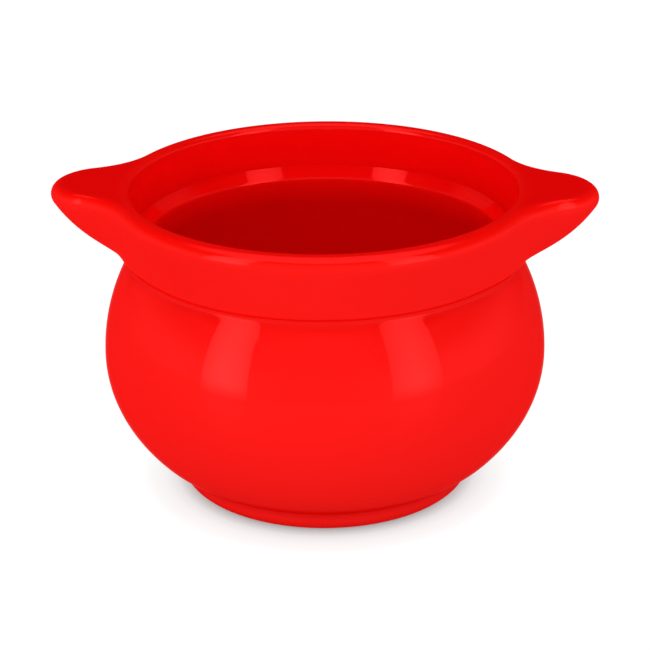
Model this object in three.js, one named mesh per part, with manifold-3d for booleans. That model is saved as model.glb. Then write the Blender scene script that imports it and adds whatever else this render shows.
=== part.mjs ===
// Lug-handled soup crock in red-glazed stoneware: a round-bellied bowl on a foot ring, with a
// flared collar luted round its neck and a lug for the fingers at each side of the collar.
// Millimetres, +Z up. The origin is the centre of the foot's bearing plane; the lugs lie along X.

import * as THREE from 'three';
import { mergeVertices } from 'three/addons/utils/BufferGeometryUtils.js';
import Module from 'manifold-3d';

// Belly: a lower and an upper elliptical arc that share the widest place
const bellyRadius = 60;
const lowerBellyHeight = 32.7;
const upperBellyHeight = 28.6;
const baseDrawIn = 19.5;
const neckDrawIn = 8.6;
const wall = 4;
const floorThickness = 4.2;
const floorBlendHeight = 12;

// Foot ring under the base
const footHeight = 4.8;
const footOverhang = 0.1;
const footWidth = 8;
const footOuterRound = 4;
const footInnerRound = 1.4;

// Neck: an outer ledge carries the collar, and a lip stands up inside it
const ledgeWidth = 2;
const lipHeight = 4.6;
const lipEdgeWidth = 0.4;
const neckEdgeRise = 0.4;
const neckRoundLength = 3.3;

// Collar with a full-round rim
const collarHeight = 17.9;
const collarStep = 1.5;
const collarFlare = 4.1;
const collarFootRound = 1;
const rimRound = 3;

// Lugs: a round nose that a concave blend joins to the rim, over a swelling underside with a heel
const lugLength = 16.3;
const lugNoseRadius = 12.5;
const lugBlendRadius = 25.5;
const lugSwell = THREE.MathUtils.degToRad(20);
const lugHeel = 2.4;
const lugHeelSpread = THREE.MathUtils.degToRad(40);

// Luted joints: slip fills the gap, and each lug stands in a seat pared into the collar
const luteGap = 0.3;
const lugSeatDepth = 1.5;
const lugLedgeHeight = 2.5;

// Fineness of the facets
const roundSteps = 60;
const bellySteps = 7;
const edgeSteps = 4;
const rimSteps = 9;
const lugSteps = 10;
const plainSteps = 10;
const topLineWeight = 0.35;
const leastFootTurn = 0.05;

const glazeColour = 0xe8120b;
const glazeRoughness = 0.14;

// Heights and radii that follow from the sizes above
const widestHeight = footHeight + lowerBellyHeight;
const seatHeight = widestHeight + upperBellyHeight;
const rimHeight = seatHeight + collarHeight;
const lipTop = seatHeight + lipHeight;
const floorTop = footHeight + floorThickness;
const baseRadius = bellyRadius - baseDrawIn;
const neckRadius = bellyRadius - neckDrawIn;
const footRadius = baseRadius - footOverhang;
const lipRadius = neckRadius - ledgeWidth;
const collarBore = lipRadius + luteGap;
const collarFootRadius = neckRadius + collarStep;
const rimRadius = collarFootRadius + collarFlare;
const lugTip = rimRadius + lugLength;

// Half heights of the ellipses that pass through the base, the widest place and the neck
const halfHeight = (height, endRadius) => height / Math.sqrt(1 - (endRadius / bellyRadius) ** 2);
const lowerHalfHeight = halfHeight(lowerBellyHeight, baseRadius);
const upperHalfHeight = halfHeight(upperBellyHeight, neckRadius);

const wasm = await Module();
wasm.setup();

function arcPoints(centre, radius, from, to, steps) {
  const points = [];
  for (let i = 0; i <= steps; i += 1) {
    const angle = from + ((to - from) * i) / steps;
    points.push(new THREE.Vector2(centre.x + radius * Math.cos(angle), centre.y + radius * Math.sin(angle)));
  }
  return points;
}

// Part of an ellipse round the widest place, between two heights
function bellyArc(radius, half, fromHeight, toHeight, steps) {
  const angleAt = (height) => Math.asin((height - widestHeight) / half);
  const from = angleAt(fromHeight);
  const to = angleAt(toHeight);
  return new THREE.EllipseCurve(0, widestHeight, radius, half, from, to, to < from).getPoints(steps);
}

// Revolve a profile of radius and height round +Z
function revolve(profile) {
  return new THREE.LatheGeometry(profile, roundSteps).rotateX(Math.PI / 2);
}

// Round-bellied bowl: the profile runs up the outside, over the lip and down the inside to the floor
function bowl() {
  const innerRadius = bellyRadius - wall;
  const innerLower = lowerHalfHeight - wall;
  const innerUpper = upperHalfHeight - wall;

  const upperWall = bellyArc(innerRadius, innerUpper, seatHeight + neckEdgeRise, widestHeight, bellySteps);
  const neckEdge = upperWall.shift();
  const lipInner = new THREE.Vector2(lipRadius - lipEdgeWidth, lipTop);
  const above = lipInner.clone().sub(neckEdge).setLength(neckRoundLength).add(neckEdge);
  const below = upperWall[0].clone().sub(neckEdge).setLength(neckRoundLength).add(neckEdge);
  const neckRound = new THREE.QuadraticBezierCurve(above, neckEdge, below).getPoints(edgeSteps);

  const blendTop = floorTop + floorBlendHeight;
  const lowerWall = bellyArc(innerRadius, innerLower, widestHeight, blendTop, bellySteps);
  const blendStart = lowerWall.at(-1);
  const depth = (widestHeight - blendTop) / innerLower;
  const lean = ((innerRadius / innerLower) * depth) / Math.sqrt(1 - depth ** 2);
  const corner = new THREE.Vector2(blendStart.x - lean * floorBlendHeight, floorTop);
  const blendEndPoint = new THREE.Vector2(corner.x - blendStart.distanceTo(corner), floorTop);
  const floorBlend = new THREE.QuadraticBezierCurve(blendStart, corner, blendEndPoint).getPoints(bellySteps);

  return revolve([
    new THREE.Vector2(0, footHeight),
    ...bellyArc(bellyRadius, lowerHalfHeight, footHeight, widestHeight, bellySteps),
    ...bellyArc(bellyRadius, upperHalfHeight, widestHeight, seatHeight, bellySteps).slice(1),
    new THREE.Vector2(lipRadius, seatHeight),
    new THREE.Vector2(lipRadius, lipTop),
    lipInner,
    ...neckRound,
    ...upperWall.filter((point) => point.y < below.y),
    ...lowerWall.slice(1),
    ...floorBlend.slice(1),
    new THREE.Vector2(0, floorTop),
  ]);
}

// Foot ring: flat on top where it meets the base, rounded either side of its bearing face
function footRing() {
  const bore = footRadius - footWidth;
  const outer = new THREE.Vector2(footRadius - footOuterRound, footOuterRound);
  const inner = new THREE.Vector2(bore + footInnerRound, footInnerRound);
  const top = new THREE.Vector2(bore, footHeight);
  return revolve([
    top,
    ...arcPoints(inner, footInnerRound, -Math.PI, -Math.PI / 2, edgeSteps),
    ...arcPoints(outer, footOuterRound, -Math.PI / 2, 0, edgeSteps),
    new THREE.Vector2(footRadius, footHeight),
    top,
  ]);
}

// Plan outline of the rim: its circle, a lug's nose circle, and the blend circle that touches both
const noseCentre = lugTip - lugNoseRadius;
const blendToAxis = rimRadius + lugBlendRadius;
const blendToNose = lugNoseRadius + lugBlendRadius;
const blendX = (blendToAxis ** 2 - blendToNose ** 2 + noseCentre ** 2) / (2 * noseCentre);
const blendEnd = Math.acos(blendX / blendToAxis);
const noseTangent = new THREE.Vector2(blendX - noseCentre, blendToAxis * Math.sin(blendEnd))
  .setLength(lugNoseRadius)
  .add(new THREE.Vector2(noseCentre, 0));
const noseEnd = noseTangent.angle();

// Angle from the nearer lug's axis
function awayFromLug(angle) {
  return Math.abs(Math.atan2(Math.sin(2 * angle), Math.cos(2 * angle))) / 2;
}

function rimReach(angle) {
  const fromLug = awayFromLug(angle);
  if (fromLug <= noseEnd) {
    const aside = noseCentre * Math.sin(fromLug);
    return noseCentre * Math.cos(fromLug) + Math.sqrt(lugNoseRadius ** 2 - aside ** 2);
  }
  if (fromLug < blendEnd) {
    const aside = blendToAxis * Math.sin(blendEnd - fromLug);
    return blendToAxis * Math.cos(blendEnd - fromLug) - Math.sqrt(lugBlendRadius ** 2 - aside ** 2);
  }
  return rimRadius;
}

// Radius of the collar's foot, which stands out as a heel under each lug
function footReach(angle) {
  const share = Math.min(awayFromLug(angle) / lugHeelSpread, 1);
  return collarFootRadius + lugHeel * Math.cos((share * Math.PI) / 2) ** 2;
}

// Outside of the collar at one angle: the rounds at its foot and at its edge, and the turn between them
function collarSide(angle) {
  const reach = rimReach(angle);
  const foot = new THREE.Vector2(footReach(angle) - collarFootRound, seatHeight + collarFootRound);
  const edge = new THREE.Vector2(reach - rimRound, rimHeight - rimRound);
  const span = edge.clone().sub(foot);
  const straight = span.angle() - Math.PI / 2 + Math.asin((collarFootRound - rimRound) / span.length());
  const swell = lugSwell * ((reach - rimRadius) / lugLength);
  return { foot, edge, straight, swell };
}

// Top of the rim and its outer edge: level from the crest, then round to the side
function rimTop(edge, sideAngle, crest) {
  const levelWeight = (edge.x - crest.x) * topLineWeight;
  const roundWeight = rimRound * (Math.PI / 2 - sideAngle);
  const points = [];
  for (let i = 0; i <= rimSteps; i += 1) {
    const along = ((levelWeight + roundWeight) * i) / rimSteps;
    if (along < levelWeight) {
      points.push(new THREE.Vector2(crest.x + along / topLineWeight, crest.y));
    } else {
      const angle = Math.PI / 2 - (along - levelWeight) / rimRound;
      points.push(new THREE.Vector2(edge.x + rimRound * Math.cos(angle), edge.y + rimRound * Math.sin(angle)));
    }
  }
  return points;
}

// Section of the collar and lugs at one angle, anticlockwise from the bore's foot
function collarSection(angle) {
  const { foot, edge, straight, swell } = collarSide(angle);
  const edgeAngle = straight + swell;
  const footAngle = Math.max(straight - swell, leastFootTurn - Math.PI / 2);
  const footRound = arcPoints(foot, collarFootRound, -Math.PI / 2, footAngle, edgeSteps);

  const start = footRound.pop();
  const end = new THREE.Vector2(Math.cos(edgeAngle), Math.sin(edgeAngle)).multiplyScalar(rimRound).add(edge);
  const pull = start.distanceTo(end) / 2;
  const control = new THREE.Vector2(Math.sin(edgeAngle), -Math.cos(edgeAngle)).multiplyScalar(pull).add(end);
  const underside = new THREE.QuadraticBezierCurve(start, control, end).getPoints(edgeSteps);

  const boreFoot = new THREE.Vector2(collarBore, seatHeight);
  const rimCentre = new THREE.Vector2(rimRadius - rimRound, rimHeight - rimRound);
  const crest = new THREE.Vector2(rimCentre.x, rimHeight);
  const boreSpan = rimCentre.clone().sub(boreFoot);
  const boreAngle = boreSpan.angle() + Math.acos(-rimRound / boreSpan.length());
  return [
    boreFoot,
    ...footRound,
    ...underside,
    ...rimTop(edge, edgeAngle, crest).reverse().slice(1),
    ...arcPoints(rimCentre, rimRound, Math.PI / 2, boreAngle, edgeSteps).slice(1),
  ];
}

// Loft sections of radius and height through a list of angles, closed on itself or capped at its ends
function loft(angles, sectionAt, closed) {
  const sections = angles.map(sectionAt);
  const count = sections[0].length;
  const positions = [];
  sections.forEach((section, i) => {
    section.forEach(({ x, y }) => positions.push(x * Math.cos(angles[i]), x * Math.sin(angles[i]), y));
  });
  const index = [];
  const rings = closed ? angles.length : angles.length - 1;
  for (let i = 0; i < rings; i += 1) {
    const here = i * count;
    const next = ((i + 1) % angles.length) * count;
    for (let j = 0; j < count; j += 1) {
      const k = (j + 1) % count;
      index.push(here + j, next + j, next + k, here + j, next + k, here + k);
    }
  }
  if (!closed) {
    const last = (angles.length - 1) * count;
    for (const [a, b, c] of THREE.ShapeUtils.triangulateShape(sections[0], [])) {
      index.push(a, b, c, last + a, last + c, last + b);
    }
  }
  const geometry = new THREE.BufferGeometry();
  geometry.setAttribute('position', new THREE.Float32BufferAttribute(positions, 3));
  geometry.setIndex(index);
  return geometry;
}

function toSolid(geometry) {
  const merged = mergeVertices(geometry);
  return new wasm.Manifold(new wasm.Mesh({
    numProp: 3,
    vertProperties: merged.getAttribute('position').array,
    triVerts: new Uint32Array(merged.getIndex().array),
  }));
}

function toGeometry(solid) {
  const { vertProperties, triVerts } = solid.getMesh();
  const geometry = new THREE.BufferGeometry();
  geometry.setAttribute('position', new THREE.BufferAttribute(vertProperties, 3));
  geometry.setIndex(new THREE.BufferAttribute(triVerts, 1));
  return geometry;
}

// Angles round the collar, closer together where a lug stands
function collarAngles() {
  const quarter = [];
  for (let i = 0; i < lugSteps; i += 1) {
    quarter.push((blendEnd * i) / lugSteps);
  }
  for (let i = 0; i < plainSteps; i += 1) {
    quarter.push(blendEnd + ((Math.PI / 2 - blendEnd) * i) / plainSteps);
  }
  const half = [...quarter, Math.PI / 2, ...quarter.slice(1).reverse().map((angle) => Math.PI - angle)];
  return [...half, ...half.map((angle) => angle + Math.PI)];
}

// Space that a lug's seat takes from the collar: a cone behind the collar's face, above a level ledge
function lugSeat(middle, clearance) {
  const { edge, foot, straight } = collarSide(blendEnd);
  const slope = (edge.x - foot.x) / (edge.y - foot.y);
  const facePoint = foot.x + collarFootRound * Math.cos(straight);
  const backAt = (height) => facePoint + slope * (height - foot.y) - lugSeatDepth + clearance;
  const bottom = seatHeight + lugLedgeHeight;
  const top = rimHeight + rimRound;
  const far = lugTip + rimRound;
  const section = [[backAt(bottom), bottom], [far, bottom], [far, top], [backAt(top), top]]
    .map(([radius, height]) => new THREE.Vector2(radius, height));
  const end = blendEnd - clearance / rimRadius;
  const angles = [];
  for (let i = -lugSteps; i <= lugSteps; i += 1) {
    angles.push(middle + (end * i) / lugSteps);
  }
  return toSolid(loft(angles, () => section, false));
}

// Collar and lugs are cut from one lofted form, so each lug's blend runs out flush with the collar
const collarForm = toSolid(loft(collarAngles(), collarSection, true));
const collar = collarForm.subtract(lugSeat(0, 0)).subtract(lugSeat(Math.PI, 0));
const lug = collarForm.intersect(lugSeat(0, luteGap));

function glazed(name, geometry) {
  geometry.computeVertexNormals();
  const material = new THREE.MeshStandardMaterial({
    color: glazeColour,
    roughness: glazeRoughness,
    metalness: 0,
  });
  const mesh = new THREE.Mesh(geometry, material);
  mesh.name = name;
  return mesh;
}

const crock = new THREE.Group();
const lugRight = glazed('lug_right', toGeometry(lug));
const lugLeft = glazed('lug_left', toGeometry(lug));
lugLeft.rotation.z = Math.PI;
crock.add(glazed('foot_ring', footRing()));
crock.add(glazed('bowl', bowl()));
crock.add(glazed('collar', toGeometry(collar)));
crock.add(lugRight, lugLeft);

export default crock;
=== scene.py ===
import math

import bpy
import numpy as np
from mathutils import Matrix, Vector


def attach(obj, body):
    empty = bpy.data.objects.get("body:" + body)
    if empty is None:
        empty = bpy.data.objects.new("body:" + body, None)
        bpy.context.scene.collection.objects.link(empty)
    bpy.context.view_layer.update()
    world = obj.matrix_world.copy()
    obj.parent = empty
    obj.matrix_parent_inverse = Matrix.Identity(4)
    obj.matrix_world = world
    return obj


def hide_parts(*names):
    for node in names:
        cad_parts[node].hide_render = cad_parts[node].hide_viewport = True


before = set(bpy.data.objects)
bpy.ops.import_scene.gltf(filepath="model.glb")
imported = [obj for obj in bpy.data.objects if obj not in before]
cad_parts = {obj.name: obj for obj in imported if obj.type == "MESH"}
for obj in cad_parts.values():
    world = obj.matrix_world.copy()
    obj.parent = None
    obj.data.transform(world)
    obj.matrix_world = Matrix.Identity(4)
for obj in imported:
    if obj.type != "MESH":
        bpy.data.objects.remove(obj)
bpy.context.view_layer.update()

MM = 0.001

# Sizes in millimetres, as on the solids apart from FOOT_R, COLLAR_FOOT_ROUND and LUG_LENGTH
BELLY_R = 60.0
WIDEST = 37.5
BASE_Z, BASE_R = 4.8, 40.5
SEAT_Z, NECK_R = 66.1, 51.4
RIM_Z = 84.0
WALL = 4.0
FLOOR_Z, FLOOR_BLEND = 9.0, 12.0
FOOT_R, FOOT_BORE = 40.1, 32.4
FOOT_OUTER_ROUND, FOOT_INNER_ROUND = 4.0, 1.4
LIP_R, LIP_Z = 49.4, 70.7
COLLAR_FOOT_R, COLLAR_FOOT_ROUND = 52.9, 1.6
COLLAR_BORE = 49.7
RIM_R, RIM_ROUND = 57.0, 3.0
LUG_LENGTH, LUG_NOSE_R, LUG_BLEND_R = 16.26, 12.5, 25.5
LUG_SWELL = math.radians(20)
LUG_HEEL, LUG_HEEL_SPREAD = 2.4, math.radians(40)
LUG_SEAT_DEPTH, LUG_LEDGE_Z = 1.5, 68.6
LUTE_GAP = 0.3

# Finished outside: glaze in the inner corners, a flatter underside and a lower edge on the collar
FOOT_FILLET, BASE_FILLET, CREASE_FILLET = 4.0, 0.6, 1.6
BASE_LIFT, BASE_LIFT_TOP = 1.9, 12.0
COLLAR_DROP = 0.6
# Finished inside: tighter round on the rim's inner edge, corner over the lip, and the neck
RIM_INNER_R, RIM_INNER_ROUND = 53.3, 1.5
CORNER = (50.2, 72.15)
NECK_EDGE, NECK_ABOVE, NECK_BELOW = (47.29, 67.6), 1.3, 5.5
# Where the glaze goes from its outside colour to painted shade on the crest, painted light on the
# inner wall and painted shade in the bowl, in equal steps
DEPTH_RIM, DEPTH_WALL, DEPTH_START, DEPTH_BOWL = 1.2, 3.0, 1.0, 8.0
DEPTH_STEPS = 3.0
# How far wet glaze smooths a turn of the outline, and how much it gathers or thins there; the
# darkening where it gathers is also painted shade in the creases
GATHER_SPREAD, GATHER_STRENGTH = 1.1, 3.0
# Clay shows below this height of the foot, where the glaze is wiped off
BARE_Z = 0.12
# The flat seat on the foot ends this far inside its edge
FOOT_SEAT_INSET = 1.0

# Points along each curve before it is respaced
FINE = {
    "foot_round": 60, "belly": 200, "collar_round": 40, "collar_face": 160, "rim": 80,
    "crest": 80, "inner_round": 60, "bore": 40, "bowl_upper": 400, "bowl_lower": 200, "bend": 120,
}
# Points along each run of the outline
POINTS = {
    "base": 16, "base_fillet": 7, "foot_bore": 4, "foot_inner_round": 9, "foot_face": 6,
    "foot_outside": 22, "foot_fillet": 11, "belly_lower": 44, "belly_upper": 32, "crease": 9,
    "collar_low": 22, "lug": 60, "collar_high": 40, "slope": 8, "neck": 18, "bowl_upper": 32,
    "bowl_lower": 24, "floor_blend": 24, "floor": 18,
}
TURN_WEIGHT = 2.5
LEDGE_PART = 3
# Steps round the crock, closer together at the lugs
LUG_STEPS, PLAIN_STEPS = 84, 108
# Search for a place on the belly: its heights around the base and under the seat, and its halvings
FOOT_SEARCH, CREASE_SEARCH, HALVINGS = (5, -1), 6, 50
SLOPE_STEP = 1e-4
SAME, TINY, WELD_DIGITS = 1e-9, 1e-12, 5

LOWER_HALF = (WIDEST - BASE_Z) / math.sqrt(1 - (BASE_R / BELLY_R) ** 2)
UPPER_HALF = (SEAT_Z - WIDEST) / math.sqrt(1 - (NECK_R / BELLY_R) ** 2)
COLLAR_BASE = SEAT_Z - COLLAR_DROP
FOOT_CENTRE = np.array([FOOT_R - FOOT_OUTER_ROUND, FOOT_OUTER_ROUND])
# Plan of a lug: a nose circle, joined to the rim's circle by a blend circle at each side
NOSE_X = RIM_R + LUG_LENGTH - LUG_NOSE_R
BLEND_TO_AXIS = RIM_R + LUG_BLEND_R
BLEND_TO_NOSE = LUG_NOSE_R + LUG_BLEND_R
BLEND_X = (BLEND_TO_AXIS ** 2 - BLEND_TO_NOSE ** 2 + NOSE_X ** 2) / (2 * NOSE_X)
BLEND_END = math.acos(BLEND_X / BLEND_TO_AXIS)


def nose_end():
    away = np.array([BLEND_X - NOSE_X, BLEND_TO_AXIS * math.sin(BLEND_END)])
    touch = away / np.linalg.norm(away) * LUG_NOSE_R + [NOSE_X, 0]
    return math.atan2(touch[1], touch[0])


NOSE_END = nose_end()


def arc(centre, radius, start, end, count):
    angle = np.linspace(start, end, count)
    return np.c_[centre[0] + radius * np.cos(angle), centre[1] + radius * np.sin(angle)]


def line(start, end, count):
    share = np.linspace(0, 1, count)[:, None]
    return np.asarray(start) * (1 - share) + np.asarray(end) * share


def bezier(start, control, end, count):
    t = np.linspace(0, 1, count)[:, None]
    return (
        np.asarray(start) * (1 - t) ** 2
        + 2 * np.asarray(control) * t * (1 - t)
        + np.asarray(end) * t ** 2
    )


def ellipse(radius, half, low, high, count):
    start, end = math.asin((low - WIDEST) / half), math.asin((high - WIDEST) / half)
    angle = np.linspace(start, end, count)
    return np.c_[radius * np.cos(angle), WIDEST + half * np.sin(angle)]


def joined(*runs):
    return np.concatenate([runs[0]] + [run[1:] for run in runs[1:]])


def respaced(points, count):
    """The same line with a given number of points, closer together where it turns."""
    step = np.diff(points, axis=0)
    length = np.hypot(step[:, 0], step[:, 1])
    keep = np.r_[True, length > SAME]
    points, step, length = points[keep], step[keep[1:]], length[keep[1:]]
    heading = np.unwrap(np.arctan2(step[:, 1], step[:, 0]))
    turn = np.abs(np.diff(heading))
    weight = length.copy()
    weight[:-1] += TURN_WEIGHT * turn / 2
    weight[1:] += TURN_WEIGHT * turn / 2
    along = np.r_[0, np.cumsum(weight)]
    wanted = np.linspace(0, along[-1], count)
    return np.c_[np.interp(wanted, along, points[:, 0]), np.interp(wanted, along, points[:, 1])]


def bearing(point, centre):
    return math.atan2(point[1] - centre[1], point[0] - centre[0])


def away_from_lug(angle):
    return abs(math.atan2(math.sin(2 * angle), math.cos(2 * angle))) / 2


def rim_reach(angle):
    """Radius of the rim's edge in plan, out to the lug's nose."""
    away = away_from_lug(angle)
    if away <= NOSE_END:
        aside = NOSE_X * math.sin(away)
        return NOSE_X * math.cos(away) + math.sqrt(LUG_NOSE_R ** 2 - aside ** 2)
    if away < BLEND_END:
        aside = BLEND_TO_AXIS * math.sin(BLEND_END - away)
        along = BLEND_TO_AXIS * math.cos(BLEND_END - away)
        return along - math.sqrt(LUG_BLEND_R ** 2 - aside ** 2)
    return RIM_R


def foot_reach(angle):
    """Radius of the collar's lower edge, which swells to a heel under the lugs."""
    share = min(away_from_lug(angle) / LUG_HEEL_SPREAD, 1)
    return COLLAR_FOOT_R + LUG_HEEL * math.cos(share * math.pi / 2) ** 2


def collar_side(angle):
    """Centres of the rounds at the collar's foot and edge, the line between them and its swell."""
    reach = rim_reach(angle)
    foot = np.array([foot_reach(angle) - COLLAR_FOOT_ROUND, COLLAR_BASE + COLLAR_FOOT_ROUND])
    edge = np.array([reach - RIM_ROUND, RIM_Z - RIM_ROUND])
    span = edge - foot
    straight = math.atan2(span[1], span[0]) - math.pi / 2
    straight += math.asin((COLLAR_FOOT_ROUND - RIM_ROUND) / np.hypot(*span))
    return foot, edge, straight, LUG_SWELL * (reach - RIM_R) / LUG_LENGTH


def seat_back(height):
    """Radius of the cone behind the collar's face that a lug is luted against."""
    foot, edge, straight, _ = collar_side(BLEND_END)
    slope = (edge[0] - foot[0]) / (edge[1] - foot[1])
    face = foot[0] + COLLAR_FOOT_ROUND * math.cos(straight)
    return face + slope * (height - foot[1]) - LUG_SEAT_DEPTH


def belly_radius(height):
    """Outside of the belly, which is a little flatter just above the foot."""
    if height > WIDEST:
        return BELLY_R * math.sqrt(1 - ((height - WIDEST) / UPPER_HALF) ** 2)
    lift = BASE_LIFT * (max(BASE_LIFT_TOP - height, 0) / (BASE_LIFT_TOP - BASE_Z)) ** 2
    return BELLY_R * math.sqrt(1 - ((height - lift - WIDEST) / LOWER_HALF) ** 2)


def belly_point(height):
    """Point on the belly's outside, and the way out of the clay there."""
    rise = belly_radius(height + SLOPE_STEP) - belly_radius(height - SLOPE_STEP)
    slope = rise / (2 * SLOPE_STEP)
    return np.array([belly_radius(height), height]), np.array([1, -slope]) / math.hypot(1, slope)


def belly_run(low, high, count):
    start, end = math.asin((low - WIDEST) / LOWER_HALF), math.asin((high - WIDEST) / UPPER_HALF)
    along = np.linspace(start, end, count)
    heights = WIDEST + np.where(along < 0, LOWER_HALF, UPPER_HALF) * np.sin(along)
    return np.array([(belly_radius(z), z) for z in heights])


def fillet(radius, low, high, gap):
    """Rolling circle that touches the belly between two heights and, by its gap, a neighbour."""
    for _ in range(HALVINGS):
        height = (low + high) / 2
        point, normal = belly_point(height)
        centre = point + radius * normal
        if gap(centre) > radius:
            low = height
        else:
            high = height
    return point, centre


def crease(foot):
    """Glaze fillet under the collar: its start on the belly, its centre, its end on the collar."""

    def gap(centre):
        return np.linalg.norm(centre - foot) - COLLAR_FOOT_ROUND

    point, centre = fillet(CREASE_FILLET, SEAT_Z - CREASE_SEARCH, SEAT_Z, gap)
    away = (centre - foot) / np.linalg.norm(centre - foot)
    return point, centre, foot + COLLAR_FOOT_ROUND * away


def collar_outside(angle, start):
    """From the fillet under the collar up its face and over the rim to the crest."""
    foot, edge, straight, swell = collar_side(angle)
    edge_angle, foot_angle = straight + swell, straight - swell
    lower = arc(foot, COLLAR_FOOT_ROUND, bearing(start, foot), foot_angle, FINE["collar_round"])
    low = lower[-1]
    high = edge + RIM_ROUND * np.array([math.cos(edge_angle), math.sin(edge_angle)])
    pull = np.linalg.norm(high - low) / (2 * math.cos(swell))
    control = high + pull * np.array([math.sin(edge_angle), -math.cos(edge_angle)])
    return joined(
        lower,
        bezier(low, control, high, FINE["collar_face"]),
        arc(edge, RIM_ROUND, edge_angle, math.pi / 2, FINE["rim"]),
        line((edge[0], RIM_Z), (RIM_INNER_R, RIM_Z), FINE["crest"]),
    )


def crossing(points, values):
    """Split a line where a value along it changes sign for the first time."""
    i = int(np.argmax(np.sign(values[1:]) != np.sign(values[:-1])))
    share = values[i] / (values[i] - values[i + 1])
    cut = points[i] * (1 - share) + points[i + 1] * share
    return np.vstack([points[: i + 1], cut]), np.vstack([cut, points[i + 1 :]])


def inside():
    """From the rim's crest down the bore, over the neck's edge and down to the floor's middle."""
    rim_centre = np.array([RIM_INNER_R, RIM_Z - RIM_INNER_ROUND])
    corner, neck_edge = np.array(CORNER), np.array(NECK_EDGE)
    span = rim_centre - corner
    bore_angle = math.atan2(span[1], span[0]) + math.acos(-RIM_INNER_ROUND / np.hypot(*span))
    over = arc(rim_centre, RIM_INNER_ROUND, math.pi / 2, bore_angle, FINE["inner_round"])
    slope = (corner - neck_edge) / np.linalg.norm(corner - neck_edge)

    inner_r, inner_lower = BELLY_R - WALL, LOWER_HALF - WALL
    inner_upper = (neck_edge[1] - WIDEST) / math.sqrt(1 - (neck_edge[0] / inner_r) ** 2)
    upper = ellipse(inner_r, inner_upper, neck_edge[1], WIDEST, FINE["bowl_upper"])
    reach = np.linalg.norm(upper - neck_edge, axis=1)
    upper = upper[np.argmax(reach > NECK_BELOW) :]
    below, down = upper[0], upper[0] - upper[1]
    side = np.linalg.solve(np.c_[slope, -down], below - neck_edge)
    turn = neck_edge + side[0] * slope
    above = turn + NECK_ABOVE * slope

    blend_top = FLOOR_Z + FLOOR_BLEND
    lower = ellipse(inner_r, inner_lower, WIDEST, blend_top, FINE["bowl_lower"])
    depth = (WIDEST - blend_top) / inner_lower
    lean = inner_r / inner_lower * depth / math.sqrt(1 - depth ** 2)
    toe = np.array([lower[-1][0] - lean * FLOOR_BLEND, FLOOR_Z])
    floor_start = np.array([toe[0] - np.linalg.norm(lower[-1] - toe), FLOOR_Z])
    neck = bezier(above, turn, below, FINE["bend"])
    floor_blend = bezier(lower[-1], toe, floor_start, FINE["bend"])
    return joined(over, line(over[-1], corner, FINE["bore"])), [
        line(corner, above, POINTS["slope"]),
        respaced(neck, POINTS["neck"]),
        respaced(upper, POINTS["bowl_upper"]),
        respaced(lower, POINTS["bowl_lower"]),
        respaced(floor_blend, POINTS["floor_blend"]),
        line(floor_start, (0, FLOOR_Z), POINTS["floor"]),
    ]


RIM_TO_CORNER, BOWL_RUNS = inside()


def foot_fillet():
    """Glaze fillet over the foot: its start on the belly, its centre, its end on the foot."""

    def gap(centre):
        if centre[1] >= FOOT_CENTRE[1]:
            return centre[0] - FOOT_R
        return np.linalg.norm(centre - FOOT_CENTRE) - FOOT_OUTER_ROUND

    above, below = FOOT_SEARCH
    point, centre = fillet(FOOT_FILLET, BASE_Z + above, BASE_Z + below, gap)
    away = (centre - FOOT_CENTRE) / np.linalg.norm(centre - FOOT_CENTRE)
    return point, centre, FOOT_CENTRE + FOOT_OUTER_ROUND * away


BELLY_START, FOOT_FILLET_CENTRE, FOOT_TOP = foot_fillet()


def hollow_arc(centre, radius, start, end, count):
    """Fillet in an inner corner, from one point to another."""
    return arc(centre, radius, bearing(start, centre) % (2 * math.pi), bearing(end, centre), count)


def section(angle):
    """Outline of the glazed crock at one angle, from under the base round to the floor inside."""
    base_corner = np.array([FOOT_BORE - BASE_FILLET, BASE_Z - BASE_FILLET])
    inner_centre = (FOOT_BORE + FOOT_INNER_ROUND, FOOT_INNER_ROUND)
    foot_outside = arc(FOOT_CENTRE, FOOT_OUTER_ROUND, -math.pi / 2,
                       bearing(FOOT_TOP, FOOT_CENTRE), FINE["foot_round"])
    leave, centre, meet = crease(collar_side(angle)[0])
    outside = np.vstack([collar_outside(angle, meet), RIM_TO_CORNER[1:]])
    start, rest = crossing(outside, outside[:, 1] - LUG_LEDGE_Z)
    side, top = crossing(rest, rest[:, 0] - np.array([seat_back(z) for z in rest[:, 1]]))
    runs = [
        ("base", line((0, BASE_Z), (base_corner[0], BASE_Z), POINTS["base"])),
        ("base", arc(base_corner, BASE_FILLET, math.pi / 2, 0, POINTS["base_fillet"])),
        ("foot", line((FOOT_BORE, base_corner[1]), (FOOT_BORE, FOOT_INNER_ROUND),
                      POINTS["foot_bore"])),
        ("foot", arc(inner_centre, FOOT_INNER_ROUND, math.pi, 1.5 * math.pi,
                     POINTS["foot_inner_round"])),
        ("foot", line((inner_centre[0], 0), (FOOT_CENTRE[0], 0), POINTS["foot_face"])),
        ("foot", respaced(foot_outside, POINTS["foot_outside"])),
        ("belly", hollow_arc(FOOT_FILLET_CENTRE, FOOT_FILLET, FOOT_TOP, BELLY_START,
                             POINTS["foot_fillet"])),
        ("belly", respaced(belly_run(BELLY_START[1], WIDEST, FINE["belly"]),
                           POINTS["belly_lower"])),
        ("belly", respaced(belly_run(WIDEST, leave[1], FINE["belly"]), POINTS["belly_upper"])),
        ("belly", hollow_arc(centre, CREASE_FILLET, leave, meet, POINTS["crease"])),
        ("collar_low", respaced(start, POINTS["collar_low"])),
        ("lug", respaced(side, POINTS["lug"])),
        ("collar_high", respaced(top, POINTS["collar_high"])),
        *(("inside", run) for run in BOWL_RUNS),
    ]
    points, spans = runs[0][1], {}
    for name, run in runs:
        begin = 0 if not spans else len(points) - 1
        points = run if not spans else np.vstack([points, run[1:]])
        spans[name] = (spans.get(name, (begin,))[0], len(points) - 1)
    return points, spans


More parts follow.
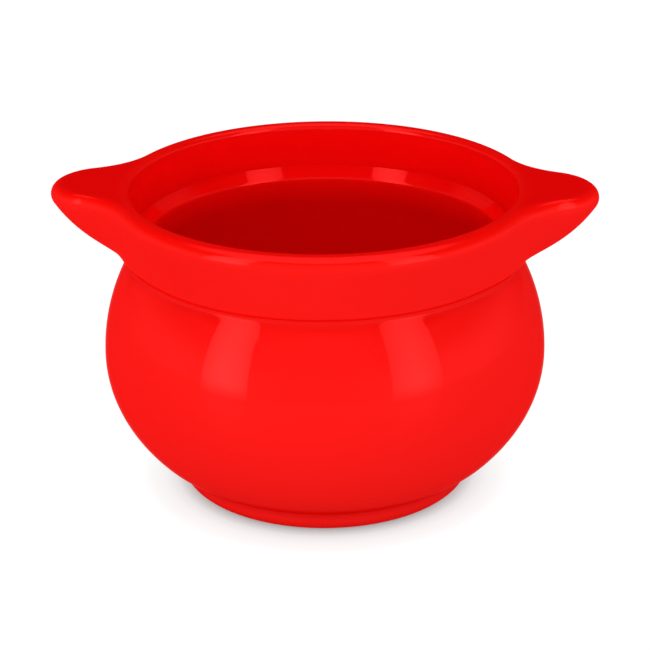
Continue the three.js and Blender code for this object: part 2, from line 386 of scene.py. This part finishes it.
def round_angles():
    """Angles round the crock, from one end of the right-hand lug, with all the lugs' ends."""
    at_lug = np.linspace(-BLEND_END, BLEND_END, LUG_STEPS + 1)[:-1]
    plain = np.linspace(BLEND_END, math.pi - BLEND_END, PLAIN_STEPS + 1)[:-1]
    half = np.r_[at_lug, plain]
    return np.r_[half, half + math.pi]


ANGLES = round_angles()
HALF = LUG_STEPS + PLAIN_STEPS
SECTIONS = [section(angle) for angle in ANGLES]
SPANS = SECTIONS[0][1]
PROFILE = np.array([points for points, _ in SECTIONS])


def turned(profile, angles):
    radius, height = profile[..., 0], profile[..., 1]
    turn = np.asarray(angles)[:, None]
    return np.stack([radius * np.cos(turn), radius * np.sin(turn), height], axis=-1)


def middle_tangent(before, here, after):
    back, ahead = here - before, after - here
    back_length = np.linalg.norm(back, axis=-1, keepdims=True) + TINY
    ahead_length = np.linalg.norm(ahead, axis=-1, keepdims=True) + TINY
    return back * ahead_length / back_length + ahead * back_length / ahead_length


def smooth_normals(grid):
    round_way = middle_tangent(np.roll(grid, 1, 0), grid, np.roll(grid, -1, 0))
    before = np.concatenate([2 * grid[:, :1] - grid[:, 1:2], grid[:, :-1]], axis=1)
    after = np.concatenate([grid[:, 1:], 2 * grid[:, -1:] - grid[:, -2:-1]], axis=1)
    up_way = middle_tangent(before, grid, after)
    normal = np.cross(round_way, up_way)
    normal[:, 0] = (0, 0, -1)
    normal[:, -1] = (0, 0, 1)
    return normal / np.linalg.norm(normal, axis=-1, keepdims=True)


def side_normals(grid, column, step):
    """Normals at an inner corner, from the faces on one side of it."""
    here = grid[:, column]
    round_way = middle_tangent(np.roll(here, 1, 0), here, np.roll(here, -1, 0))
    normal = np.cross(round_way, (grid[:, column + step] - here) * step)
    return normal / np.linalg.norm(normal, axis=-1, keepdims=True)


SURFACE = turned(PROFILE, ANGLES)
NORMALS = smooth_normals(SURFACE)


def gathering_and_crease_shade():
    """How sharply the outline turns, out (positive) or in, smoothed as wet glaze smooths it;
    inward turns also carry painted crease shade.
    """
    step = np.diff(PROFILE, axis=1)
    length = np.hypot(step[..., 0], step[..., 1])
    heading = np.unwrap(np.arctan2(step[..., 1], step[..., 0]), axis=1)
    turn = np.zeros(PROFILE.shape[:2])
    turn[:, 1:-1] = np.diff(heading, axis=1)
    along = np.concatenate([np.zeros((len(PROFILE), 1)), np.cumsum(length, axis=1)], axis=1)
    result = np.empty_like(turn)
    for i in range(len(PROFILE)):
        apart = along[i][:, None] - along[i][None, :]
        kernel = np.exp(-0.5 * (apart / GATHER_SPREAD) ** 2)
        kernel /= GATHER_SPREAD * math.sqrt(2 * math.pi)
        result[i] = kernel @ turn[i]
    return np.clip(result * GATHER_STRENGTH, -1, 1)


def smooth_step(value):
    share = np.clip(value, 0, 1)
    return share * share * (3 - 2 * share)


def painted_light_zones():
    """0 on the outside, then in equal steps the crest with the lugs' tops, the wall, the bowl:
    painted shade, light, shade.
    """
    height = PROFILE[..., 1]
    crest = smooth_step((height - RIM_Z + DEPTH_RIM) / DEPTH_RIM)
    from_edge = np.hypot(PROFILE[0, :, 0] - RIM_INNER_R, PROFILE[0, :, 1] - RIM_Z)
    within = np.zeros(PROFILE.shape[1], bool)
    within[np.argmin(from_edge) :] = True
    wall = smooth_step((RIM_Z - height) / DEPTH_WALL)
    bowl_share = smooth_step((NECK_EDGE[1] - DEPTH_START - height) / DEPTH_BOWL)
    return np.where(within[None, :], 1 + wall + bowl_share, crest) / DEPTH_STEPS


GLAZE_NAMES = ("gathering_and_crease_shade", "painted_light_zones")
GLAZE_STATE = np.stack([gathering_and_crease_shade(), painted_light_zones()], axis=-1)


class Shell:
    """Collects patches of one closed piece and welds them into a mesh."""

    def __init__(self):
        self.points, self.normals, self.glaze, self.faces, self.shown = [], [], [], [], []
        self.count = 0

    def patch(self, points, normals=None, glaze=None):
        rows, columns = points.shape[:2]
        visible = normals is not None
        if not visible:
            normals, glaze = np.zeros_like(points), np.zeros((rows, columns, len(GLAZE_NAMES)))
        index = self.count + np.arange(rows * columns).reshape(rows, columns)
        quads = np.stack([index[:-1, :-1], index[1:, :-1], index[1:, 1:], index[:-1, 1:]], axis=-1)
        self.faces.append(quads.reshape(-1, 4))
        self.shown.append(np.full(len(self.faces[-1]), visible))
        self.points.append(points.reshape(-1, 3))
        self.normals.append(normals.reshape(-1, 3))
        self.glaze.append(glaze.reshape(-1, len(GLAZE_NAMES)))
        self.count += rows * columns

    def build(self, name):
        points, normals = np.concatenate(self.points), np.concatenate(self.normals)
        faces, shown = np.concatenate(self.faces), np.concatenate(self.shown)
        glaze = np.concatenate(self.glaze)
        _, first, same = np.unique(
            np.round(points, WELD_DIGITS), axis=0, return_index=True, return_inverse=True
        )
        same = same.reshape(-1)
        corners, corner_normals, face_shown = [], [], []
        for face, visible in zip(faces, shown):
            welded = same[face]
            keep = [k for k in range(4) if welded[k] != welded[k - 1]]
            if len(set(welded[keep])) < 3:
                continue
            corners.append([int(welded[k]) for k in keep])
            corner_normals.append(normals[face[keep]])
            face_shown.append(visible)
        mesh = bpy.data.meshes.new(name)
        mesh.from_pydata((points[first] * MM).tolist(), [], corners)
        mesh.update()
        loops = []
        for polygon, own, visible in zip(mesh.polygons, corner_normals, face_shown):
            flat = [tuple(polygon.normal)] * len(polygon.vertices)
            loops.extend(own.tolist() if visible else flat)
        mesh.polygons.foreach_set("use_smooth", [True] * len(mesh.polygons))
        mesh.normals_split_custom_set(loops)
        on_show = np.any(normals != 0, axis=1)
        for k, glaze_name in enumerate(GLAZE_NAMES):
            values = np.zeros(len(first))
            values[same[on_show]] = glaze[on_show, k]
            mesh.attributes.new(glaze_name, "FLOAT", "POINT").data.foreach_set("value", values)
        piece = bpy.data.objects.new(name, mesh)
        bpy.context.scene.collection.objects.link(piece)
        return piece


FOOT_IN, FOOT_OUT = SPANS["foot"]
BELLY_END = SPANS["belly"][1]
LUG_LOW, LUG_HIGH = SPANS["lug"]
COLLAR_END = SPANS["collar_high"][1]
LAST = PROFILE.shape[1] - 1
LUG_ROWS = {
    "lug_right": np.arange(0, LUG_STEPS + 1),
    "lug_left": np.arange(HALF, HALF + LUG_STEPS + 1),
}
PLAIN_ROWS = [
    np.arange(LUG_STEPS, HALF + 1),
    np.arange(HALF + LUG_STEPS, 2 * HALF + 1) % (2 * HALF),
]


def ring(values):
    return np.concatenate([values, values[:1]])


def shown_band(shell, begin, end, rows=None):
    """Add the part of the glazed surface between two places of its outline."""
    columns = slice(begin, end + 1)
    points, glaze = SURFACE[:, columns], GLAZE_STATE[:, columns]
    normals = NORMALS[:, columns].copy()
    if begin == COLLAR_END:
        normals[:, 0] = side_normals(SURFACE, COLLAR_END, 1)
    if end == COLLAR_END:
        normals[:, -1] = side_normals(SURFACE, COLLAR_END, -1)
    if rows is None:
        shell.patch(ring(points), ring(normals), ring(glaze))
    else:
        shell.patch(points[rows], normals[rows], glaze[rows])


def hidden_band(shell, stations):
    """Add faces against a neighbour, through stations of radius and height for each angle."""
    shell.patch(ring(turned(np.stack(stations, axis=1), ANGLES)))


def everywhere(radius, height):
    return np.tile((radius, height), (len(ANGLES), 1))


def at(place):
    return PROFILE[:, place]


def seat_edge():
    """Outer end of the ledge under the collar."""
    ends = zip(ANGLES, at(BELLY_END))
    return np.array([(min(collar_side(angle)[0][0], end[0]), SEAT_Z) for angle, end in ends])


FOOT_SEAT = [
    at(FOOT_IN),
    everywhere(FOOT_BORE, BASE_Z),
    everywhere(FOOT_R - FOOT_SEAT_INSET, BASE_Z),
    at(FOOT_OUT),
]
SEAT_EDGE = seat_edge()


def seat_line(i, relief):
    """Hidden line along the lug's ledge, then up its back to the seam on top.

    It has as many points as the lug's outside, and the relief keeps it off the collar."""
    low, high = PROFILE[i, LUG_LOW], PROFILE[i, LUG_HIGH]
    corner = np.array([seat_back(LUG_LEDGE_Z) + relief, LUG_LEDGE_Z])
    count = LUG_HIGH - LUG_LOW + 1
    ledge = count // LEDGE_PART
    back = line(corner, high, count - ledge + 1)
    back[:, 0] += relief * np.sin(np.linspace(0, math.pi, len(back)))
    return joined(line(low, corner, ledge), back)


def bowl():
    shell = Shell()
    shown_band(shell, 0, FOOT_IN)
    hidden_band(shell, FOOT_SEAT)
    shown_band(shell, FOOT_OUT, BELLY_END)
    lip = [everywhere(LIP_R, SEAT_Z), everywhere(LIP_R, LIP_Z)]
    hidden_band(shell, [at(BELLY_END), SEAT_EDGE, *lip, at(COLLAR_END)])
    shown_band(shell, COLLAR_END, LAST)
    return shell.build("crock_bowl")


def foot_ring():
    shell = Shell()
    shown_band(shell, FOOT_IN, FOOT_OUT)
    hidden_band(shell, FOOT_SEAT[::-1])
    return shell.build("crock_foot")


def collar():
    shell = Shell()
    shown_band(shell, BELLY_END, LUG_LOW)
    shown_band(shell, LUG_HIGH, COLLAR_END)
    for rows in PLAIN_ROWS:
        shown_band(shell, LUG_LOW, LUG_HIGH, rows)
    for rows in LUG_ROWS.values():
        seat = turned(np.array([seat_line(i, 0) for i in rows]), ANGLES[rows])
        shell.patch(seat)
        face = SURFACE[rows][:, LUG_LOW : LUG_HIGH + 1]
        shell.patch(np.stack([face[0], seat[0]]))
        shell.patch(np.stack([seat[-1], face[-1]]))
    hidden_band(shell, [at(COLLAR_END), everywhere(COLLAR_BORE, SEAT_Z), SEAT_EDGE, at(BELLY_END)])
    return shell.build("crock_collar")


def lug(name):
    rows = LUG_ROWS[name]
    shell = Shell()
    shown_band(shell, LUG_LOW, LUG_HIGH, rows)
    back = turned(np.array([seat_line(i, LUTE_GAP) for i in rows]), ANGLES[rows])
    shell.patch(back[:, ::-1])
    face = SURFACE[rows][:, LUG_LOW : LUG_HIGH + 1]
    shell.patch(np.stack([back[0], face[0]]))
    shell.patch(np.stack([face[-1], back[-1]]))
    return shell.build("crock_" + name)


# Sockets of a colour mix node
MIX_INPUTS, MIX_RESULT = (0, 6, 7), 2


def node(tree, kind, **values):
    made = tree.nodes.new(kind)
    for key, value in values.items():
        setattr(made, key, value)
    return made


def feed(tree, socket, value):
    """Link a socket to another one, or set it to a number or a colour."""
    if isinstance(value, bpy.types.NodeSocket):
        tree.links.new(value, socket)
    elif isinstance(value, tuple):
        socket.default_value = (*value, 1)
    else:
        socket.default_value = value


def feed_all(tree, made, values):
    for name, value in values.items():
        feed(tree, made.inputs[name], value)


def math_node(tree, operation, *values, clamp=False):
    made = node(tree, "ShaderNodeMath", operation=operation, use_clamp=clamp)
    for socket, value in zip(made.inputs, values):
        feed(tree, socket, value)
    return made.outputs[0]


def plus(tree, first, second, clamp=False):
    return math_node(tree, "ADD", first, second, clamp=clamp)


def minus(tree, first, second, clamp=False):
    return math_node(tree, "SUBTRACT", first, second, clamp=clamp)


def times(tree, first, second, clamp=False):
    return math_node(tree, "MULTIPLY", first, second, clamp=clamp)


def mix_colour(tree, factor, first, second):
    made = node(tree, "ShaderNodeMix", data_type="RGBA")
    for place, value in zip(MIX_INPUTS, (factor, first, second)):
        feed(tree, made.inputs[place], value)
    return made.outputs[MIX_RESULT]


def smooth_rise(tree, value, low, high):
    """Goes from 0 to 1 as a value goes from low to high."""
    made = node(tree, "ShaderNodeMapRange", interpolation_type="SMOOTHSTEP")
    feed_all(tree, made, {"Value": value, "From Min": low, "From Max": high})
    return made.outputs[0]


def split(tree, vector):
    made = node(tree, "ShaderNodeSeparateXYZ")
    tree.links.new(vector, made.inputs[0])
    return made.outputs


def coordinate(tree, kind):
    return node(tree, "ShaderNodeTexCoord").outputs[kind]


def noise(tree, place, scale, detail, roughness=0.5):
    made = node(tree, "ShaderNodeTexNoise")
    feed_all(
        tree, made, {"Vector": place, "Scale": scale, "Detail": detail, "Roughness": roughness}
    )
    return made.outputs["Fac"]


def bump(tree, height, strength, distance):
    made = node(tree, "ShaderNodeBump")
    feed_all(tree, made, {"Height": height, "Strength": strength, "Distance": distance})
    return made.outputs["Normal"]


def new_material(name):
    material = bpy.data.materials.new(name)
    material.use_nodes = True
    return material, material.node_tree


GLAZE_OUTSIDE = (0.86, 0.0030, 0.0014)
# Painted shade on the crest and the lugs' tops and in the bowl, painted light on the inner wall
CREST_PAINTED_SHADE = (0.83, 0.0012, 0.0010)
WALL_PAINTED_LIGHT = (0.96, 0.0016, 0.0012)
BOWL_PAINTED_SHADE = (0.79, 0.0012, 0.0010)
DEEP_GLAZE_AND_SHADE = (0.72, 0.0014, 0.0010)
GLAZE_THIN = (0.91, 0.0060, 0.0036)
GLAZE_PIT = (0.30, 0.004, 0.003)
GLAZE_SHINE = {
    "Metallic": 0.10,
    "Specular IOR Level": 0.0,
    "Specular Tint": (1.0, 0.04, 0.04),
    "Coat Weight": 0.018,
    "Coat Roughness": 0.025,
    "Coat IOR": 4.0,
}
GLAZE_ROUGH, GLAZE_ROUGH_SPREAD = 0.02, 0.04
GLAZE_BUMP, GLAZE_BUMP_DEPTH = 0.25, 0.00012
# Where the glaze is deeper or thinner in colour: in hollows, darkened by pooled glaze and painted
# shade in the creases, on edges and in broad patches
POOL_AND_SHADE_SHARE, EDGE_SHARE, PATCH_SHARE = 0.6, 0.35, 0.35
# Scale per metre and detail of the noises, and the height of the fine one beside the wavy one
PATCH_NOISE, FINE_NOISE, WAVY_NOISE = (45.0, 3.0), (620.0, 1.0), (130.0, 2.0)
FINE_HEIGHT = 0.25
# Pits: one in the middle of a cell, in the parts of the glaze where a noise is above a level
PIT_CELLS, PIT_SIZE, PIT_NOISE, PIT_LEVEL = 95.0, 0.028, (30.0, 0.0), 0.66
PIT_TINT, PIT_DEPTH = 0.25, 1.5

CLAY = (0.62, 0.50, 0.37)
CLAY_DARK = (0.48, 0.36, 0.25)
CLAY_GRAIN, CLAY_PATCHES, CLAY_MIX = (900.0, 6.0, 0.7), (120.0, 3.0), 2.2
CLAY_ROUGH, CLAY_ROUGH_SPREAD = 0.68, 0.2
CLAY_BUMP, CLAY_BUMP_DEPTH = 0.5, 0.0001


def glaze_pits(tree, place):
    cells = node(tree, "ShaderNodeTexVoronoi")
    feed_all(tree, cells, {"Vector": place, "Scale": PIT_CELLS})
    chosen = math_node(tree, "GREATER_THAN", noise(tree, place, *PIT_NOISE), PIT_LEVEL)
    return times(tree, math_node(tree, "LESS_THAN", cells.outputs["Distance"], PIT_SIZE), chosen)


def glaze_material():
    """Red glaze, coloured by how deep in the crock it lies (painted shade on the crest and in the
    bowl, painted light on the inner wall) and where it gathers, with painted shade in the creases,
    or thins.
    """
    material, tree = new_material("red_glaze")
    place = coordinate(tree, "Object")
    gathered_and_shaded, depth = (
        node(tree, "ShaderNodeAttribute", attribute_name=name).outputs["Fac"]
        for name in GLAZE_NAMES
    )
    # Painted shade and light by zone: crest and lugs' tops, inner wall, bowl
    step = times(tree, depth, DEPTH_STEPS)
    colour = mix_colour(tree, math_node(tree, "MINIMUM", step, 1.0), GLAZE_OUTSIDE, CREST_PAINTED_SHADE)
    colour = mix_colour(tree, minus(tree, step, 1.0, clamp=True), colour, WALL_PAINTED_LIGHT)
    colour = mix_colour(tree, minus(tree, step, 2.0, clamp=True), colour, BOWL_PAINTED_SHADE)
    patches = times(tree, minus(tree, noise(tree, place, *PATCH_NOISE), 0.5), PATCH_SHARE)
    # Darker in hollows from pooled glaze and painted crease shade, and in broad random patches
    deep_and_shade = plus(tree, times(tree, gathered_and_shaded, -POOL_AND_SHADE_SHARE), patches, clamp=True)
    colour = mix_colour(tree, deep_and_shade, colour, DEEP_GLAZE_AND_SHADE)
    colour = mix_colour(tree, times(tree, gathered_and_shaded, EDGE_SHARE, clamp=True), colour, GLAZE_THIN)
    pit = glaze_pits(tree, place)
    colour = mix_colour(tree, times(tree, pit, PIT_TINT), colour, GLAZE_PIT)

    fine = noise(tree, place, *FINE_NOISE)
    height = plus(tree, times(tree, fine, FINE_HEIGHT), noise(tree, place, *WAVY_NOISE))
    height = minus(tree, height, times(tree, pit, PIT_DEPTH))
    normal = bump(tree, height, GLAZE_BUMP, GLAZE_BUMP_DEPTH)
    rough = plus(tree, times(tree, fine, GLAZE_ROUGH_SPREAD), GLAZE_ROUGH)
    looks = {"Base Color": colour, "Roughness": rough, "Normal": normal, "Coat Normal": normal}
    feed_all(tree, tree.nodes["Principled BSDF"], {**looks, **GLAZE_SHINE})
    return material


def clay_material():
    """Bare fired clay where the foot was wiped clean of glaze."""
    material, tree = new_material("bare_clay")
    place = coordinate(tree, "Object")
    grain = noise(tree, place, *CLAY_GRAIN)
    mixed = times(tree, grain, noise(tree, place, *CLAY_PATCHES))
    colour = mix_colour(tree, times(tree, mixed, CLAY_MIX, clamp=True), CLAY_DARK, CLAY)
    rough = plus(tree, times(tree, grain, CLAY_ROUGH_SPREAD), CLAY_ROUGH)
    normal = bump(tree, grain, CLAY_BUMP, CLAY_BUMP_DEPTH)
    looks = {"Base Color": colour, "Roughness": rough, "Normal": normal}
    feed_all(tree, tree.nodes["Principled BSDF"], looks)
    return material


red_glaze = glaze_material()
bare_clay = clay_material()

for piece, replaced in (
    (bowl(), "bowl"),
    (collar(), "collar"),
    (lug("lug_right"), "lug_right"),
    (lug("lug_left"), "lug_left"),
    (foot_ring(), "foot_ring"),
):
    piece.data.materials.append(red_glaze)
    if replaced == "foot_ring":
        piece.data.materials.append(bare_clay)
        for polygon in piece.data.polygons:
            polygon.material_index = int(polygon.center.z < BARE_Z * MM)
    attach(piece, "root")
    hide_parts(replaced)


# Camera at the photograph's viewing angle
CAMERA_DISTANCE = 629.57 * MM
CAMERA_TARGET = Vector((0, 0, 43.05 * MM))
CAMERA_ELEVATION = math.radians(22.68)
CAMERA_AZIMUTH = math.radians(3.12)
CAMERA_ROLL = math.radians(-0.47)
FOCAL_PIXELS, IMAGE_PIXELS, SENSOR = 2302.0, 650.0, 36.0
IMAGE_SHIFT = -0.23

to_camera = Vector((
    math.cos(CAMERA_ELEVATION) * math.sin(CAMERA_AZIMUTH),
    -math.cos(CAMERA_ELEVATION) * math.cos(CAMERA_AZIMUTH),
    math.sin(CAMERA_ELEVATION),
))
camera_data = bpy.data.cameras.new("camera")
camera_data.sensor_width = SENSOR
camera_data.lens = SENSOR * FOCAL_PIXELS / IMAGE_PIXELS
camera_data.shift_x = -IMAGE_SHIFT / IMAGE_PIXELS
camera = bpy.data.objects.new("camera", camera_data)
upright = to_camera.to_track_quat("Z", "Y").to_matrix().to_4x4()
rolled = upright @ Matrix.Rotation(CAMERA_ROLL, 4, "Z")
camera.matrix_world = Matrix.Translation(CAMERA_TARGET + CAMERA_DISTANCE * to_camera) @ rolled
bpy.context.scene.collection.objects.link(camera)
bpy.context.scene.camera = camera


WHITE = (1, 1, 1)
# Soft boxes, in metres: from and to azimuth in degrees, and light at the edges and the middle
LEFT_STRIP, LEFT_LEVELS = (-59.6, -34.9), (3.1, 5.3)
RIGHT_STRIP, RIGHT_LEVELS = (35.6, 62.2), (2.4, 4.1)
STRIP_DISTANCE, STRIP_LOW, STRIP_HIGH = 1.0, -0.13, 1.45
# They fade upwards per metre, and run out over their foot into the room's light
STRIP_FADE, STRIP_FOOT, STRIP_END = 0.42, 0.21, 1.05
# Room light on each side; heights are those of a direction, from 0 level to 1 straight up
WORLD_LEFT, WORLD_RIGHT, WORLD_FRONT, WORLD_BACK, WORLD_TOP = 1.48, 1.50, 0.98, 0.15, 1.66
SIDE_DIM, FRONT_DIM, DIM_RISE = 0.62, 0.15, (0.05, 0.34)
SIDE_END, FRONT_END, TOP_RISE = (0.38, 0.52), (0.50, 0.74), (0.74, 0.88)
TOP_LEAN, LOBE_POWER = 0.22, 2.0
# White table over a lower floor, in metres
TABLE_R, TABLE_HEIGHT, TABLE_SIDES, FLOOR_SIZE = 0.33, 0.35, 96, 8.0
FLOOR_COLOUR, FLOOR_ROUGH, FLOOR_IOR = 0.06, 0.4, 1.25
# The floor's glow to the camera, and a glow that stands in for light bounced from the floor onto
# the crock
FLOOR_GLOW, FLOOR_BOUNCE_GLOW = 0.98, 0.80
# Painted shadow of the crock in the floor's glow: how far it reaches, and what is left of the
# light where it is darkest
CONTACT_REACHES, CONTACT_DARKEST = (0.003, 0.006, 0.011), 0.30
SHADE_REACHES, SHADE_DARKEST = (0.08,), 0.45
SHADE_SAMPLES = 3


def flat_face(name, points, material):
    mesh = bpy.data.meshes.new(name)
    mesh.from_pydata(points, [], [tuple(range(len(points)))])
    mesh.materials.append(material)
    face = bpy.data.objects.new(name, mesh)
    bpy.context.scene.collection.objects.link(face)
    return face


def staged_sheet(name, width, height, matrix, material):
    """Rectangle of the set, which isn't a piece of the crock."""
    x, y = width / 2, height / 2
    sheet = flat_face(name, [(-x, -y, 0), (x, -y, 0), (x, y, 0), (-x, y, 0)], material)
    sheet.matrix_world = matrix
    return sheet


def disc(radius, sides):
    angles = np.linspace(0, 2 * math.pi, sides, endpoint=False)
    return [(radius * math.cos(angle), radius * math.sin(angle), 0) for angle in angles]


def glow_material(name, width, height, edge, peak):
    """Light from one side of a sheet, brightest along its middle and fading upwards."""
    material, tree = new_material(name)
    tree.nodes.remove(tree.nodes["Principled BSDF"])
    place = split(tree, coordinate(tree, "Object"))
    dome = math_node(tree, "COSINE", times(tree, place["X"], math.pi / width))
    level = plus(tree, times(tree, dome, peak - edge), edge)
    up = plus(tree, place["Y"], height / 2)
    level = times(tree, level, minus(tree, 1.0, times(tree, up, STRIP_FADE)))
    over = times(tree, minus(tree, level, STRIP_END), smooth_rise(tree, up, 0.0, STRIP_FOOT))
    level = plus(tree, over, STRIP_END)
    front = minus(tree, 1.0, node(tree, "ShaderNodeNewGeometry").outputs["Backfacing"])
    glow = node(tree, "ShaderNodeEmission")
    tree.links.new(times(tree, level, front), glow.inputs["Strength"])
    tree.links.new(glow.outputs[0], tree.nodes["Material Output"].inputs["Surface"])
    return material


def strip(name, azimuths, levels):
    """Upright soft box that faces the crock; azimuth 0 is in front, and the right is positive."""
    middle, spread = math.radians(sum(azimuths) / 2), math.radians(azimuths[1] - azimuths[0])
    width, height = 2 * STRIP_DISTANCE * math.tan(spread / 2), STRIP_HIGH - STRIP_LOW
    x, y = STRIP_DISTANCE * math.sin(middle), -STRIP_DISTANCE * math.cos(middle)
    spot = Matrix.Translation((x, y, (STRIP_LOW + STRIP_HIGH) / 2))
    facing = Vector((-x, -y, 0)).to_track_quat("Z", "Y").to_matrix().to_4x4()
    material = glow_material(name, width, height, *levels)
    sheet = staged_sheet(name, width, height, spot @ facing, material)
    sheet.visible_camera = False


def studio_world():
    """Soft room light, with a level for each side of the room and one for its ceiling."""
    world = bpy.data.worlds.new("studio")
    world.use_nodes = True
    tree = world.node_tree
    direction = split(tree, coordinate(tree, "Generated"))
    level_way = node(tree, "ShaderNodeCombineXYZ")
    feed_all(tree, level_way, {"X": direction["X"], "Y": direction["Y"]})
    heading = node(tree, "ShaderNodeVectorMath", operation="NORMALIZE")
    tree.links.new(level_way.outputs[0], heading.inputs[0])
    sides = split(tree, heading.outputs[0])

    def rising(low, high):
        return smooth_rise(tree, direction["Z"], low, high)

    lean = plus(tree, times(tree, direction["Y"], -TOP_LEAN), 1.0)
    total = times(tree, times(tree, rising(*TOP_RISE), WORLD_TOP), lean)
    for axis, sign, level, dim, end in (
        ("X", -1, WORLD_LEFT, SIDE_DIM, SIDE_END),
        ("X", 1, WORLD_RIGHT, SIDE_DIM, SIDE_END),
        ("Y", -1, WORLD_FRONT, FRONT_DIM, FRONT_END),
        ("Y", 1, WORLD_BACK, FRONT_DIM, FRONT_END),
    ):
        dimmed = minus(tree, 1.0, times(tree, rising(*DIM_RISE), dim))
        low_sky = minus(tree, 1.0, rising(*end))
        facing = math_node(tree, "MAXIMUM", times(tree, sides[axis], sign), 0.0)
        share = times(tree, math_node(tree, "POWER", facing, LOBE_POWER), level)
        total = plus(tree, total, times(tree, share, times(tree, dimmed, low_sky)))
    feed_all(tree, tree.nodes["Background"], {"Color": WHITE, "Strength": total})
    return world


def open_share(tree, darkest, reaches):
    """Share of the light that reaches the table past the crock, over one or more distances."""
    total = None
    for reach in reaches:
        made = node(tree, "ShaderNodeAmbientOcclusion", samples=SHADE_SAMPLES)
        made.inputs["Distance"].default_value = reach
        part = times(tree, made.outputs["AO"], 1 / len(reaches))
        total = part if total is None else plus(tree, total, part)
    return plus(tree, times(tree, total, 1 - darkest), darkest)


def floor_material():
    """Satin white that glows where it is seen or mirrored, with painted shadow near the crock, and
    lights the crock from below.
    """
    material, tree = new_material("white_floor")
    path = node(tree, "ShaderNodeLightPath").outputs
    seen = math_node(tree, "MAXIMUM", path["Is Camera Ray"], path["Is Glossy Ray"])
    seen = math_node(tree, "MAXIMUM", seen, path["Is Transmission Ray"])
    unseen = minus(tree, 1.0, seen)
    # Painted shadow: the glow seen by the camera and in reflections, and the glow that lights the
    # crock, dim near the crock
    painted_contact_shadow = open_share(tree, CONTACT_DARKEST, CONTACT_REACHES)
    painted_bounce_shade = open_share(tree, SHADE_DARKEST, SHADE_REACHES)
    shown = times(tree, times(tree, seen, FLOOR_GLOW), painted_contact_shadow)
    thrown = times(tree, times(tree, unseen, FLOOR_BOUNCE_GLOW), painted_bounce_shade)
    feed_all(tree, tree.nodes["Principled BSDF"], {
        "Base Color": (FLOOR_COLOUR, FLOOR_COLOUR, FLOOR_COLOUR),
        "Roughness": FLOOR_ROUGH,
        "IOR": FLOOR_IOR,
        "Emission Color": WHITE,
        "Emission Strength": plus(tree, shown, thrown),
    })
    return material


strip("left_strip", LEFT_STRIP, LEFT_LEVELS)
strip("right_strip", RIGHT_STRIP, RIGHT_LEVELS)
bpy.context.scene.world = studio_world()
white_floor = floor_material()
below_table = Matrix.Translation((0, 0, -TABLE_HEIGHT))
staged_sheet("floor", FLOOR_SIZE, FLOOR_SIZE, below_table, white_floor)
table = flat_face("table", disc(TABLE_R, TABLE_SIDES), white_floor)

bpy.context.scene.view_settings.view_transform = "Standard"
